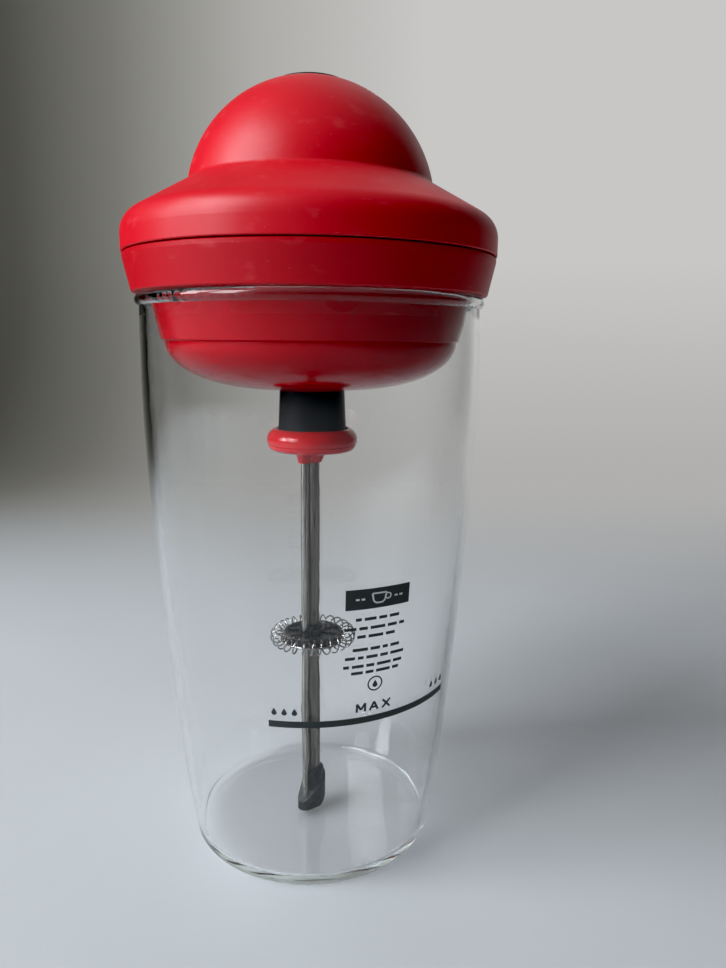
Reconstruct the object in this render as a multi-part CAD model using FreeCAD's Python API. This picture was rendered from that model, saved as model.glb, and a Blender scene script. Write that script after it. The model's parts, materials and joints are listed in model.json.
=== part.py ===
import FreeCAD, Part
import math
import os

# Battery milk frother: a tall clear beaker, a domed lid with the motor and cells
# in it, and a twin-shaft whisk with a garter-coil disc that hangs from the lid.
# Frame: origin at the centre of the beaker's foot, +Z up along the beaker's axis,
# -Y towards the side of the beaker that carries the printed level mark.
# All sizes are in millimetres.

Vector = FreeCAD.Vector
UP = Vector(0, 0, 1)
CENTRE = Vector(0, 0, 0)

# ---- driving dimensions -------------------------------------------------------------
# beaker
RIM_Z = 164.0            # top of the glass
MOUTH_R = 48.3           # outer radius of the wall under the rim
GLASS_WALL = 2.0
GLASS_FLOOR = 2.6        # height of the inside of the floor
FOOT_R = 34.8            # outer edge of the flat ring that it stands on
PUSH_UP = 0.5            # how far the middle of the foot is domed up
PUSH_UP_R = 32.4
FLOOR_ROUND = 2.3        # rounding between the floor and the wall, inside

# lid shell
LID_R = 52.5             # widest radius of the lid
SEAM_Z = 174.6           # middle of the seam between cover and base
SEAM_GAP = 0.4
LID_GAP = 0.3            # lid base to glass rim
BOWL_R = 45.8            # bowl where it leaves the lid's underside
CREASE_R = 42.6          # bowl just above the crease
CREASE_STEP = 0.8        # how far it steps in there
CREASE_Z = 151.5
BOWL_FLAT_R = 14.2
BOWL_BOTTOM_Z = 138.2
BASE_WALL = 2.2
COLLAR_R = 49.0          # collar that the cover slides over
COLLAR_TOP_Z = 181.4
COVER_INNER_R = 50.0

# dome
DOME_Z = 188.3           # centre of the dome's ellipsoid
DOME_R = 34.7
DOME_H = 34.0
DOME_WALL = 2.3
NECK_R = 34.2            # where the dome meets the shoulder cone
SHOULDER_Z = 179.5       # where the shoulder's rounding starts
SHOULDER_ROUND = 7.0
SHOULDER_SLOPE = 59.7    # degrees from level to the normal of the cone

# button and switch
BUTTON_R = 10.0
BUTTON_PROUD = 0.3
STEM_R = 3.0
BUTTON_SEAT_Z = 217.5    # top of the button's flange
GUIDE_Z = 210.8
GUIDE_T = 1.2
GUIDE_R = 17.2
GUIDE_SCREW_R = 14.8
PLUNGER_TOP_Z = 209.8

# cells and cage
CELL_R = 7.2
CELL_L = 50.5
CELL_CENTRE_R = 22.0
CELL_ANGLES = [90, 210, 330]
CELL_BOTTOM_Z = 147.2
POST_ANGLES = [30, 150, 270]     # also the angles of the ears and of every screw
POST_CENTRE_R = 24.0
CAGE_Z = 143.2           # underside of the cage's plate
CAGE_PLATE_T = 2.0
CAGE_PLATE_R = 30.6
CAGE_EAR_R = 36.5
CAGE_EAR_Z = 158.0
CAP_Z = 198.2
CAP_T = 2.0
CAP_R = 28.6
BOARD_T = 1.2

# motor
MOTOR_R = 12.0
MOTOR_Z = 145.4          # front face of the can
MOTOR_L = 30.0
SHAFT_R = 1.0
RUNNING = 0.06           # radial running clearance

# spindle and sleeve
SPINDLE_R = 3.0
SLEEVE_TOP_R = 9.55
SLEEVE_END_R = 10.1
SLEEVE_END_Z = 125.3
HEX_FLAT = 4.6           # across the flats of the drive

# whisk
WHISK_TURN = -66.0       # rod's direction at rest, degrees about +Z from -Y
HUB_BOTTOM_Z = 119.7
HUB_TOP_Z = 126.3
NOSE_Z = 116.2
TUBE_R = 2.2
TUBE_BORE_R = 1.6
ROD_R = 1.0
ROD_OFFSET = 4.06
TIP_LOW_Z = 3.8          # 1.2 clear of the beaker's floor
DISC_Z = 61.3            # middle of the disc and coil
DISC_HALF_T = 1.4
COIL_R = 11.0            # ring that the coil's turns are centred on
COIL_TURN_R = 2.25
COIL_WIRE_R = 0.25
COIL_TURNS = 27

PARTS = "parts"
os.makedirs(PARTS, exist_ok=True)


# ---- helpers ------------------------------------------------------------------------
def at(r, z):
    """A point of an outline: r out from the axis, z up."""
    return Vector(r, 0, z)


def line(a, b):
    return Part.LineSegment(a, b).toShape()


def arc(a, middle, b):
    return Part.Arc(a, middle, b).toShape()


def ellipse_arc(z, r, height, start, end, centre_r=0.0, below=False):
    """Part of an ellipse in the outline plane, angles in degrees from level."""
    side = -1 if below else 1
    centre = at(centre_r, z)
    shape = Part.Ellipse(at(centre_r + r, z), centre + Vector(0, 0, side * height), centre)
    edge = Part.ArcOfEllipse(shape, math.radians(min(start, end)), math.radians(max(start, end)))
    return edge.toShape()


def smooth(points):
    curve = Part.BSplineCurve()
    curve.interpolate([at(r, z) for r, z in points])
    return curve.toShape()


def turned(*steps):
    """Solid of revolution. A step is a point (r, z) reached by a straight line, or an edge."""
    edges = []
    here = None
    first = None
    for step in steps:
        if isinstance(step, tuple):
            point = at(*step)
            if here is not None and here.distanceToPoint(point) > 1e-6:
                edges.append(line(here, point))
            here = point
            first = first or point
            continue
        ends = [v.Point for v in step.Vertexes]
        if here is None:
            here = first = ends[0]
        near, far = sorted(ends, key=here.distanceToPoint)
        if here.distanceToPoint(near) > 1e-6:
            edges.append(line(here, near))
        edges.append(step)
        here = far
    if here.distanceToPoint(first) > 1e-6:
        edges.append(line(here, first))
    wire = Part.Wire(Part.__sortEdges__(edges))
    return Part.Face(wire).revolve(CENTRE, UP, 360)


def ring(inner, outer, low, high):
    """A plain ring, or a disc when inner is 0."""
    solid = Part.makeCylinder(outer, high - low, Vector(0, 0, low))
    if inner > 0:
        solid = solid.cut(Part.makeCylinder(inner, high - low, Vector(0, 0, low)))
    return solid


def rod_at(x, y, radius, low, high):
    return Part.makeCylinder(radius, high - low, Vector(x, y, low))


def polar(radius, angle):
    return (radius * math.cos(math.radians(angle)), radius * math.sin(math.radians(angle)))


def about_axis(shape, angle):
    copy = shape.copy()
    copy.rotate(CENTRE, UP, angle)
    return copy


def fused(first, *others):
    return first.multiFuse(list(others)).removeSplitter()


def group(solids):
    return Part.makeCompound(solids)


def block(x0, x1, y0, y1, z0, z1):
    return Part.makeBox(x1 - x0, y1 - y0, z1 - z0, Vector(x0, y0, z0))


def hexagon(flat, low, high):
    radius = flat / math.sqrt(3)
    corners = [Vector(*polar(radius, 60 * i), low) for i in range(7)]
    return Part.Face(Part.makePolygon(corners)).extrude(Vector(0, 0, high - low))


def round_tube(points, radius):
    """A wire of straight runs joined by tangent arcs."""
    edges = []
    here = points[0]
    for before, corner, after in zip(points, points[1:], points[2:]):
        back, on = (before - corner), (after - corner)
        run = min(back.Length, on.Length)
        back.normalize()
        on.normalize()
        half_turn = (math.pi - back.getAngle(on)) / 2
        cut = 0.45 * run
        bend = cut / math.tan(half_turn)
        inward = back + on
        inward.normalize()
        reach = bend / math.cos(half_turn) - bend
        start, end = corner + back * cut, corner + on * cut
        edges.append(line(here, start))
        edges.append(arc(start, corner + inward * reach, end))
        here = end
    edges.append(line(here, points[-1]))
    path = Part.Wire(edges)
    direction = points[1] - points[0]
    section = Part.Wire(Part.makeCircle(radius, points[0], direction))
    return path.makePipeShell([section], True, False)


def coil_rings(centre_r, wire_r, low, high, count):
    """A small compression spring drawn as closed turns between two heights."""
    step = (high - low - 2 * wire_r) / (count - 1)
    return [Part.makeTorus(centre_r, wire_r, Vector(0, 0, low + wire_r + i * step)) for i in range(count)]


def screw(x, y, seat, head_r, head_h, shank_r, length, upward=False):
    """A pan-head screw. It points down from its seat, or up when upward."""
    side = -1 if upward else 1
    head = Part.makeCylinder(head_r, head_h, Vector(x, y, seat), Vector(0, 0, side))
    rim = max(head.Edges, key=lambda edge: side * edge.BoundBox.Center.z)
    head = head.makeFillet(head_h * 0.3, [rim])
    shank = Part.makeCylinder(shank_r, length, Vector(x, y, seat), Vector(0, 0, -side))
    slot_z = seat + side * head_h
    slot = block(x - head_r, x + head_r, y - 0.25, y + 0.25, slot_z - 0.5, slot_z + 0.5)
    return fused(head, shank).cut(slot)


def save(name, shape):
    solids = shape.Solids
    bad = [s for s in solids if not s.isValid() or s.Volume <= 0]
    shape.exportStep(os.path.join(PARTS, name + ".step"))
    state = "BAD" if bad or not solids else ""
    print(f"{name:22s} solids {len(solids):2d} volume {shape.Volume:10.1f} {state}")


# ---- beaker -------------------------------------------------------------------------
def glass_beaker():
    outside = [
        (37.25, 2.6), (40.4, 24.5), (43.7, 57.0), (46.9, 98.0), (MOUTH_R + 0.1, 131.0), (MOUTH_R, 160.8),
    ]
    inside = [(r - GLASS_WALL, z) for r, z in reversed(outside)]
    inside[-1] = (35.6, GLASS_FLOOR + FLOOR_ROUND)
    inside[0] = (MOUTH_R - GLASS_WALL, 162.2)
    rim_r = MOUTH_R - 0.6
    flat_r = inside[-1][0] - FLOOR_ROUND
    corner = FLOOR_ROUND * math.sqrt(0.5)
    return turned(
        arc(at(0, PUSH_UP), at(PUSH_UP_R / 2, PUSH_UP * 0.75), at(PUSH_UP_R, 0)),
        (FOOT_R, 0),
        arc(at(FOOT_R, 0), at(36.5, 0.72), at(*outside[0])),
        smooth(outside),
        arc(at(*outside[-1]), at(MOUTH_R + 1.2, 162.3), at(rim_r, RIM_Z)),
        arc(at(rim_r, RIM_Z), at(46.75, 163.55), at(*inside[0])),
        smooth(inside),
        arc(at(*inside[-1]), at(flat_r + corner, inside[-1][1] - corner), at(flat_r, GLASS_FLOOR)),
        (0, GLASS_FLOOR),
    )


# ---- lid base and the black sleeve ---------------------------------------------------
def bowl_curve(offset):
    """The rounded lower part of the bowl, moved inwards by offset."""
    r = CREASE_R - CREASE_STEP - BOWL_FLAT_R - offset
    height = CREASE_Z - BOWL_BOTTOM_Z - offset
    return ellipse_arc(CREASE_Z, r, height, 0, 90, BOWL_FLAT_R, below=True)


def lid_base():
    under = RIM_Z + LID_GAP
    top = SEAM_Z - SEAM_GAP / 2
    hole = SLEEVE_TOP_R + 0.05
    floor = BOWL_BOTTOM_Z + BASE_WALL
    wall_in = CREASE_R - BASE_WALL
    shell = turned(
        (hole, BOWL_BOTTOM_Z - 0.4),
        (11.1, BOWL_BOTTOM_Z - 0.4),
        (11.4, BOWL_BOTTOM_Z),
        (BOWL_FLAT_R, BOWL_BOTTOM_Z),
        bowl_curve(0),
        (CREASE_R, CREASE_Z + 0.35),
        (BOWL_R, under),
        (49.7, under),
        arc(at(49.7, under), at(50.12, under + 0.15), at(50.3, under + 0.55)),
        (LID_R - 0.3, top - 1.2),
        (LID_R - 0.25, top - 0.25),
        (LID_R - 0.5, top),
        (COLLAR_R, top),
        (COLLAR_R, 176.2),
        (COLLAR_R - 1.2, 176.2),
        (COLLAR_R - 1.2, 178.8),
        (COLLAR_R, 178.8),
        (COLLAR_R, COLLAR_TOP_Z - 0.4),
        (COLLAR_R - 0.4, COLLAR_TOP_Z),
        (COLLAR_R - BASE_WALL, COLLAR_TOP_Z),
        (COLLAR_R - BASE_WALL, 167.6),
        (BOWL_R - BASE_WALL, under - 0.8),
        (wall_in, CREASE_Z),
        bowl_curve(BASE_WALL),
        (hole, floor),
    )
    envelope = turned((0, BOWL_BOTTOM_Z), (BOWL_FLAT_R, BOWL_BOTTOM_Z), bowl_curve(1.0), (0, CREASE_Z))
    upper = turned((0, CREASE_Z), (wall_in + 1.2, CREASE_Z), (wall_in + 1.6, CAGE_EAR_Z), (0, CAGE_EAR_Z))
    inside = fused(envelope, upper)
    for angle in POST_ANGLES:
        x, y = polar(CAGE_EAR_R, angle)
        boss = rod_at(x, y, 3.5, 141.0, CAGE_EAR_Z).common(inside)
        shell = shell.fuse(boss)
    for angle in POST_ANGLES:
        x, y = polar(CAGE_EAR_R, angle)
        shell = shell.cut(rod_at(x, y, 1.2, 148.0, CAGE_EAR_Z + 0.1))
    return shell.removeSplitter()


def drive_sleeve():
    floor = BOWL_BOTTOM_Z + BASE_WALL
    return turned(
        (5.0, CAGE_Z),
        (14.0, CAGE_Z),
        (14.0, floor),
        (12.9, floor),
        (12.9, floor + 1.3),
        (10.9, floor + 1.3),
        (10.9, floor),
        (SLEEVE_TOP_R, floor),
        (SLEEVE_TOP_R, BOWL_BOTTOM_Z - 0.8),
        (SLEEVE_END_R, SLEEVE_END_Z + 0.4),
        (SLEEVE_END_R - 0.3, SLEEVE_END_Z),
        (6.4, SLEEVE_END_Z),
        (6.4, 128.4),
        (5.0, 128.4),
    )


def sleeve_seal_ring():
    return Part.makeTorus(11.9, 0.62, Vector(0, 0, BOWL_BOTTOM_Z + BASE_WALL + 0.65))


def spindle_bush():
    return ring(SPINDLE_R + RUNNING, 5.0, 128.4, 136.0)


def spindle_seal():
    return turned(
        (SPINDLE_R + RUNNING, 136.4),
        (5.0, 136.4),
        (5.0, 139.4),
        (4.2, 139.4),
        (4.2, 137.6),
        (3.7, 137.6),
        (3.4, 139.0),
        (SPINDLE_R + RUNNING, 139.0),
    )


# ---- cage, cells and contacts ---------------------------------------------------------
def battery_cage():
    plate_top = CAGE_Z + CAGE_PLATE_T
    tube_in, tube_out = MOTOR_R + 0.25, MOTOR_R + 1.6
    cage = ring(0, CAGE_PLATE_R, CAGE_Z, plate_top)
    cage = cage.fuse(ring(tube_in, tube_out, plate_top, 178.4))
    for angle in CELL_ANGLES:
        shell = ring(CELL_R + 0.35, CELL_R + 1.55, plate_top, 186.0)
        wedge = Part.makeCylinder(CELL_R + 3, 50, Vector(0, 0, plate_top), UP, 130)
        wedge.rotate(CENTRE, UP, -65)
        shell = shell.cut(wedge)
        shell.translate(Vector(CELL_CENTRE_R, 0, 0))
        cage = cage.fuse(about_axis(shell, angle))
    for angle in POST_ANGLES:
        web = block(tube_in + 0.4, POST_CENTRE_R, -0.8, 0.8, plate_top, 190.0)
        post = rod_at(POST_CENTRE_R, 0, 3.0, plate_top, CAP_Z)
        arm = block(POST_CENTRE_R, CAGE_EAR_R, -3.0, 3.0, CAGE_EAR_Z, CAGE_EAR_Z + 2.4)
        ear = rod_at(CAGE_EAR_R, 0, 3.6, CAGE_EAR_Z, CAGE_EAR_Z + 2.4)
        holes = group([
            rod_at(CAGE_EAR_R, 0, 1.5, CAGE_EAR_Z - 1, CAGE_EAR_Z + 4),
            rod_at(POST_CENTRE_R, 0, 1.0, 189.0, CAP_Z + 1),
        ])
        strut = web.multiFuse([post, arm, ear]).cut(holes)
        cage = cage.fuse(about_axis(strut, angle))
    clear = ring(0, tube_in, plate_top, 178.4)
    nose = ring(0, 4.6, CAGE_Z, plate_top)
    groove = ring(0, tube_in + 0.75, 175.6, 176.8)
    return cage.cut(clear).cut(nose).cut(groove).removeSplitter()


def cage_screws():
    seat = CAGE_EAR_Z + 2.4
    return group([screw(*polar(CAGE_EAR_R, a), seat, 2.8, 1.9, 1.15, 11.0) for a in POST_ANGLES])


def battery_cell(angle):
    top = CELL_BOTTOM_Z + CELL_L
    cell = turned(
        (0, CELL_BOTTOM_Z),
        (CELL_R - 0.8, CELL_BOTTOM_Z),
        (CELL_R, CELL_BOTTOM_Z + 0.8),
        (CELL_R, top - 2.1),
        (CELL_R - 0.8, top - 1.3),
        (2.75, top - 1.3),
        (2.75, top - 0.3),
        (2.45, top),
        (0, top),
    )
    x, y = polar(CELL_CENTRE_R, angle)
    cell.translate(Vector(x, y, 0))
    return cell


def cell_springs():
    turns = []
    low = CAGE_Z + CAGE_PLATE_T + 0.4
    for angle in CELL_ANGLES:
        x, y = polar(CELL_CENTRE_R, angle)
        for turn in coil_rings(3.6, 0.3, low, CELL_BOTTOM_Z, 2):
            turn.translate(Vector(x, y, 0))
            turns.append(turn)
    return group(turns)


def pad(angle, radius, low, high):
    return rod_at(*polar(CELL_CENTRE_R, angle), radius, low, high)


def strip(angle_a, angle_b, width, low, high):
    """A flat strip between two cells."""
    a, b = Vector(*polar(CELL_CENTRE_R, angle_a), low), Vector(*polar(CELL_CENTRE_R, angle_b), low)
    bar = block(0, (b - a).Length, -width / 2, width / 2, 0, high - low)
    bar.rotate(CENTRE, UP, math.degrees(math.atan2(b.y - a.y, b.x - a.x)))
    bar.translate(a)
    return bar


def lower_contacts():
    low = CAGE_Z + CAGE_PLATE_T
    pads = [pad(angle, 5.0, low, low + 0.4) for angle in CELL_ANGLES]
    return group(pads)


def upper_contacts():
    low, high = CELL_BOTTOM_Z + CELL_L + 0.05, CAP_Z
    first, second, third = CELL_ANGLES
    bridge = fused(
        pad(first, 5.0, low, high), pad(second, 5.0, low, high), strip(first, second, 4.0, low, high)
    )
    return group([bridge, pad(third, 5.0, low, high)])


def contact_cap():
    cap = ring(0, CAP_R, CAP_Z, CAP_Z + CAP_T)
    cap = cap.makeFillet(0.6, [e for e in cap.Edges if abs(e.BoundBox.ZMin - CAP_Z - CAP_T) < 0.01][:1])
    for angle in POST_ANGLES:
        cap = cap.cut(rod_at(*polar(POST_CENTRE_R, angle), 1.0, CAP_Z - 1, CAP_Z + CAP_T + 1))
    for x in (-7.0, 7.0):
        cap = cap.cut(rod_at(x, 0, 1.0, CAP_Z - 1, CAP_Z + CAP_T + 1))
    return cap


def cap_screws():
    seat = CAP_Z + CAP_T
    return group([screw(*polar(POST_CENTRE_R, a), seat, 1.9, 1.2, 0.95, 9.6) for a in POST_ANGLES])


# ---- switch ---------------------------------------------------------------------------
def switch_board():
    low = CAP_Z + CAP_T
    board = ring(0, 9.5, low, low + BOARD_T)
    return board.cut(block(-12, 12, 8.2, 12, low, low + BOARD_T))


def switch_body():
    low = CAP_Z + CAP_T + BOARD_T
    body = block(-4, 4, -4, 4, low, low + 5)
    body = body.makeFillet(0.6, [e for e in body.Edges if e.BoundBox.ZLength > 4])
    return body.cut(rod_at(0, 0, 1.87, low + 0.6, low + 6))


def switch_plunger():
    return rod_at(0, 0, 1.8, 203.9, PLUNGER_TOP_Z)


def motor_leads():
    leads = []
    for side in (-1, 1):
        points = [(7, 0, 179.4), (7, 0, 183), (8.4, side * 1.2, 188), (7, 0, 194), (7, 0, CAP_Z + CAP_T)]
        leads.append(round_tube([Vector(side * x, y, z) for x, y, z in points], 0.6))
    return group(leads)


# ---- motor ----------------------------------------------------------------------------
def motor_can():
    bore = SHAFT_R + RUNNING
    top = MOTOR_Z + MOTOR_L
    return turned(
        (bore, MOTOR_Z - 2),
        (4.5, MOTOR_Z - 2),
        (4.5, MOTOR_Z),
        (MOTOR_R, MOTOR_Z),
        (MOTOR_R, top),
        (MOTOR_R - 0.8, top),
        (MOTOR_R - 0.8, MOTOR_Z + 1),
        (bore, MOTOR_Z + 1),
    )


def motor_magnets():
    magnets = []
    for start in (20, 200):
        magnet = Part.makeCylinder(MOTOR_R - 0.85, 22, Vector(0, 0, MOTOR_Z + 3.6), UP, 140)
        magnet = magnet.cut(ring(0, MOTOR_R - 3.1, MOTOR_Z + 3, MOTOR_Z + 27))
        magnets.append(about_axis(magnet, start))
    return group(magnets)


def motor_end_cap():
    top = MOTOR_Z + MOTOR_L
    return turned(
        (SHAFT_R + RUNNING, top - 2),
        (MOTOR_R - 0.85, top - 2),
        (MOTOR_R - 0.85, top),
        (3.0, top),
        (3.0, top + 1.8),
        (SHAFT_R + RUNNING, top + 1.8),
    )


def motor_terminals():
    top = MOTOR_Z + MOTOR_L
    return group([block(x - 0.3, x + 0.3, -1.1, 1.1, top, top + 4) for x in (-7.0, 7.0)])


def motor_retaining_ring():
    clip = Part.makeCylinder(MOTOR_R + 0.9, 1.0, Vector(0, 0, 175.7), UP, 310)
    clip = clip.cut(ring(0, MOTOR_R - 1.4, 175, 178))
    return about_axis(clip, 25)


def motor_shaft():
    return ring(0, SHAFT_R, 136.2, 178.0)


def motor_armature():
    low, high = MOTOR_Z + 5.6, MOTOR_Z + 23.6
    core = ring(SHAFT_R, 8.2, low, high)
    for i in range(3):
        slot = block(4.0, 9.0, -0.7, 0.7, low, high).fuse(rod_at(4.6, 0, 1.7, low, high))
        core = core.cut(about_axis(slot, 120 * i))
    return core


def motor_commutator():
    return ring(SHAFT_R, 2.6, MOTOR_Z + 24.2, MOTOR_Z + 27.6)


# ---- spindle and whisk ------------------------------------------------------------------
def drive_spindle():
    shank = turned(
        (0, 128.0), (SPINDLE_R, 128.0), (SPINDLE_R, 140.0), (4.4, 140.0), (4.4, 141.6), (0, 141.6)
    )
    spindle = shank.fuse(hexagon(HEX_FLAT, 120.9, 128.0)).removeSplitter()
    return spindle.cut(ring(0, SHAFT_R, 136.2, 142.0))


def whisk_hub():
    body = turned(
        (0, HUB_BOTTOM_Z),
        (10.9, HUB_BOTTOM_Z),
        arc(at(10.9, HUB_BOTTOM_Z), at(12.55, 120.25), at(13.15, 121.5)),
        (13.0, 121.6),
        (13.25, 121.75),
        arc(at(13.25, 121.75), at(13.3, 124.2), at(12.2, 125.7)),
        arc(at(12.2, 125.7), at(11.6, 126.15), at(10.9, HUB_TOP_Z)),
        (10.6, 126.0),
        (10.6, 124.8),
        (5.4, 124.8),
        (5.4, 127.6),
        (0, 127.6),
    )
    nose_h = HUB_BOTTOM_Z - NOSE_Z
    tube_nose = Part.makeCone(2.9, 4.4, nose_h, Vector(0, 0, NOSE_Z))
    rod_nose = Part.makeCone(1.7, 2.5, nose_h, Vector(0, -ROD_OFFSET, NOSE_Z))
    web = block(-1.5, 1.5, -ROD_OFFSET, 0, NOSE_Z, HUB_BOTTOM_Z)
    hub = fused(body, tube_nose, rod_nose, web)
    hub = hub.cut(hexagon(HEX_FLAT + 0.1, 120.7, 128.0))
    hub = hub.cut(ring(0, TUBE_R, NOSE_Z - 1, 119.6))
    return hub.cut(rod_at(0, -ROD_OFFSET, ROD_R, NOSE_Z - 1, 120.3))


def whisk_tube():
    return ring(TUBE_BORE_R, TUBE_R, 6.0, 119.6)


def whisk_rod():
    return rod_at(0, -ROD_OFFSET, ROD_R, 5.4, 120.3)


def slanted_slab(low_at_axis, thickness, slope):
    """A slab whose faces fall towards -Y by slope degrees."""
    slab = block(-20, 20, -20, 20, -thickness, 0)
    slab.rotate(CENTRE, Vector(1, 0, 0), slope)
    slab.translate(Vector(0, 0, low_at_axis))
    return slab


def whisk_tip():
    tube_end, rod_end = 3.9, 2.5
    gap = ROD_OFFSET
    sine = (tube_end - rod_end) / gap
    cosine = math.sqrt(1 - sine * sine)
    flank = [
        Vector(tube_end * cosine, -tube_end * sine, 0),
        Vector(rod_end * cosine, -gap - rod_end * sine, 0),
        Vector(-rod_end * cosine, -gap - rod_end * sine, 0),
        Vector(-tube_end * cosine, -tube_end * sine, 0),
    ]
    flank.append(flank[0])
    prism = Part.Face(Part.makePolygon(flank)).extrude(Vector(0, 0, 20))
    outline = fused(prism, rod_at(0, 0, tube_end, 0, 20), rod_at(0, -gap, rod_end, 0, 20))
    paddle = outline.common(slanted_slab(12.0, 5.6, 40)).common(ring(0, 20, TIP_LOW_Z, 20))
    slopes = [f for f in paddle.Faces if isinstance(f.Surface, Part.Plane) and abs(f.normalAt(0, 0).y) > 0.3]
    top_face = max(slopes, key=lambda face: face.CenterOfMass.z)
    paddle = paddle.makeFillet(0.45, top_face.Edges)
    collar = turned(
        (0, 8.5), (3.3, 8.5), (3.3, 15.9), arc(at(3.3, 15.9), at(3.1, 16.3), at(2.7, 16.5)), (0, 16.5)
    )
    tip = fused(paddle, collar)
    tip = tip.cut(ring(0, TUBE_R, 6.0, 20))
    return tip.cut(rod_at(0, -gap, ROD_R, 5.4, 20))


def frothing_disc():
    low, high = DISC_Z - DISC_HALF_T, DISC_Z + DISC_HALF_T
    seat = COIL_TURN_R + COIL_WIRE_R + 0.02
    rim = COIL_R - math.sqrt(seat ** 2 - DISC_HALF_T ** 2)
    body = turned(
        (0, low - 1.2),
        (3.8, low - 1.2),
        (4.0, low),
        (rim, low),
        arc(at(rim, low), at(COIL_R - seat, DISC_Z), at(rim, high)),
        (8.1, high),
        (7.7, high - 0.6),
        (4.2, high - 0.6),
        (4.0, high + 1.1),
        (3.2, high + 1.3),
        (3.1, high + 2.4),
        (0, high + 2.5),
    )
    for i in range(8):
        rib = block(3.5, 8.0, -0.35, 0.35, high - 0.7, high - 0.1)
        body = body.fuse(about_axis(rib, 22.5 + 45 * i))
    body = body.removeSplitter().cut(ring(0, TUBE_R + 0.05, low - 2, high + 4))
    return body.cut(rod_at(0, -ROD_OFFSET, ROD_R + 0.05, low - 2, high + 4))


def coil_ring():
    """The garter coil, one closed turn of wire for each turn of the coil."""
    turns = []
    for i in range(COIL_TURNS):
        turn = Part.makeTorus(COIL_TURN_R, COIL_WIRE_R, CENTRE, Vector(0.28, 1, 0))
        turn.translate(Vector(COIL_R, 0, DISC_Z))
        turns.append(about_axis(turn, 360.0 * i / COIL_TURNS))
    return group(turns)


def coil_hoop():
    return Part.makeTorus(9.75, 0.35, Vector(0, 0, DISC_Z - 0.9))


# ---- cover, button and their guide ------------------------------------------------------
def cover_gasket():
    return turned(
        (COLLAR_R - 0.9, 176.8),
        (COLLAR_R - 0.6, 176.5),
        (COVER_INNER_R - 0.6, 176.5),
        (COVER_INNER_R - 0.3, 176.9),
        (COVER_INNER_R - 0.3, 178.1),
        (COVER_INNER_R - 0.6, 178.5),
        (COLLAR_R - 0.6, 178.5),
        (COLLAR_R - 0.9, 178.2),
    )


def shoulder_point(radius, angle):
    turn = math.radians(angle)
    centre_r = LID_R - SHOULDER_ROUND
    return at(centre_r + radius * math.cos(turn), SHOULDER_Z + radius * math.sin(turn))


def angle_at(radius, half_width):
    """Where an ellipse of that half width has this radius, in degrees from level."""
    return math.degrees(math.acos(radius / half_width))


def dome_cover():
    low = SEAM_Z + SEAM_GAP / 2
    inner_round = SHOULDER_ROUND - (LID_R - COVER_INNER_R)
    inner_r, inner_h = DOME_R - DOME_WALL, DOME_H - DOME_WALL
    hole = BUTTON_R + 0.35
    outer = [shoulder_point(SHOULDER_ROUND, a) for a in (0, SHOULDER_SLOPE / 2, SHOULDER_SLOPE)]
    inner = [shoulder_point(inner_round, a) for a in (0, SHOULDER_SLOPE / 2, SHOULDER_SLOPE)]
    cover = turned(
        (COVER_INNER_R, low),
        (LID_R - 0.25, low),
        (LID_R, low + 0.25),
        arc(*outer),
        ellipse_arc(DOME_Z, DOME_R, DOME_H, angle_at(NECK_R, DOME_R), angle_at(hole, DOME_R)),
        ellipse_arc(DOME_Z, inner_r, inner_h, angle_at(hole, inner_r), angle_at(NECK_R - 2.15, inner_r)),
        arc(*reversed(inner)),
    )
    neck = [
        e for e in cover.Edges
        if len(e.Vertexes) == 1 and abs(e.Vertexes[0].X - NECK_R) < 0.01 and e.BoundBox.ZLength < 0.01
    ]
    cover = cover.makeFillet(1.2, neck)
    guide_top = GUIDE_Z + GUIDE_T
    for angle in POST_ANGLES:
        x, y = polar(GUIDE_SCREW_R, angle)
        cover = cover.fuse(rod_at(x, y, 2.6, guide_top, 217.0))
    for angle in POST_ANGLES:
        x, y = polar(GUIDE_SCREW_R, angle)
        cover = cover.cut(rod_at(x, y, 0.85, guide_top - 1, 216.0))
    return cover


def button_guide():
    top = GUIDE_Z + GUIDE_T
    guide = turned(
        (STEM_R + 0.08, GUIDE_Z), (GUIDE_R, GUIDE_Z), (GUIDE_R, top), (6.2, top), (6.2, top + 1.2),
        (5.4, top + 1.2), (5.4, top), (STEM_R + 0.08, top)
    )
    for angle in POST_ANGLES:
        guide = guide.cut(rod_at(*polar(GUIDE_SCREW_R, angle), 0.85, GUIDE_Z - 1, top + 1))
    return guide


def button_guide_screws():
    return group([
        screw(*polar(GUIDE_SCREW_R, a), GUIDE_Z, 1.9, 1.2, 0.8, 4.8, upward=True) for a in POST_ANGLES
    ])


def button_spring():
    return group(coil_rings(4.3, 0.35, GUIDE_Z + GUIDE_T, BUTTON_SEAT_Z - 1.1, 4))


def power_button():
    crown_r, crown_h = DOME_R + BUTTON_PROUD, DOME_H + BUTTON_PROUD
    edge = BUTTON_R - 0.6
    edge_z = DOME_Z + crown_h * math.sin(math.radians(angle_at(edge, crown_r)))
    rise = DOME_Z + crown_h - edge_z
    crown = (edge ** 2 + rise ** 2) / (2 * rise)
    half_way = at(edge / 2, DOME_Z + crown_h - crown + math.sqrt(crown ** 2 - edge ** 2 / 4))
    return turned(
        (0, PLUNGER_TOP_Z + 0.1),
        (STEM_R, PLUNGER_TOP_Z + 0.1),
        (STEM_R, BUTTON_SEAT_Z - 1.1),
        (BUTTON_R + 1.6, BUTTON_SEAT_Z - 1.1),
        (BUTTON_R + 1.6, BUTTON_SEAT_Z),
        (BUTTON_R, BUTTON_SEAT_Z),
        (BUTTON_R, edge_z - 0.65),
        arc(at(BUTTON_R, edge_z - 0.65), at(BUTTON_R - 0.15, edge_z - 0.2), at(edge, edge_z)),
        arc(at(edge, edge_z), half_way, at(0, DOME_Z + crown_h)),
    )


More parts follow.
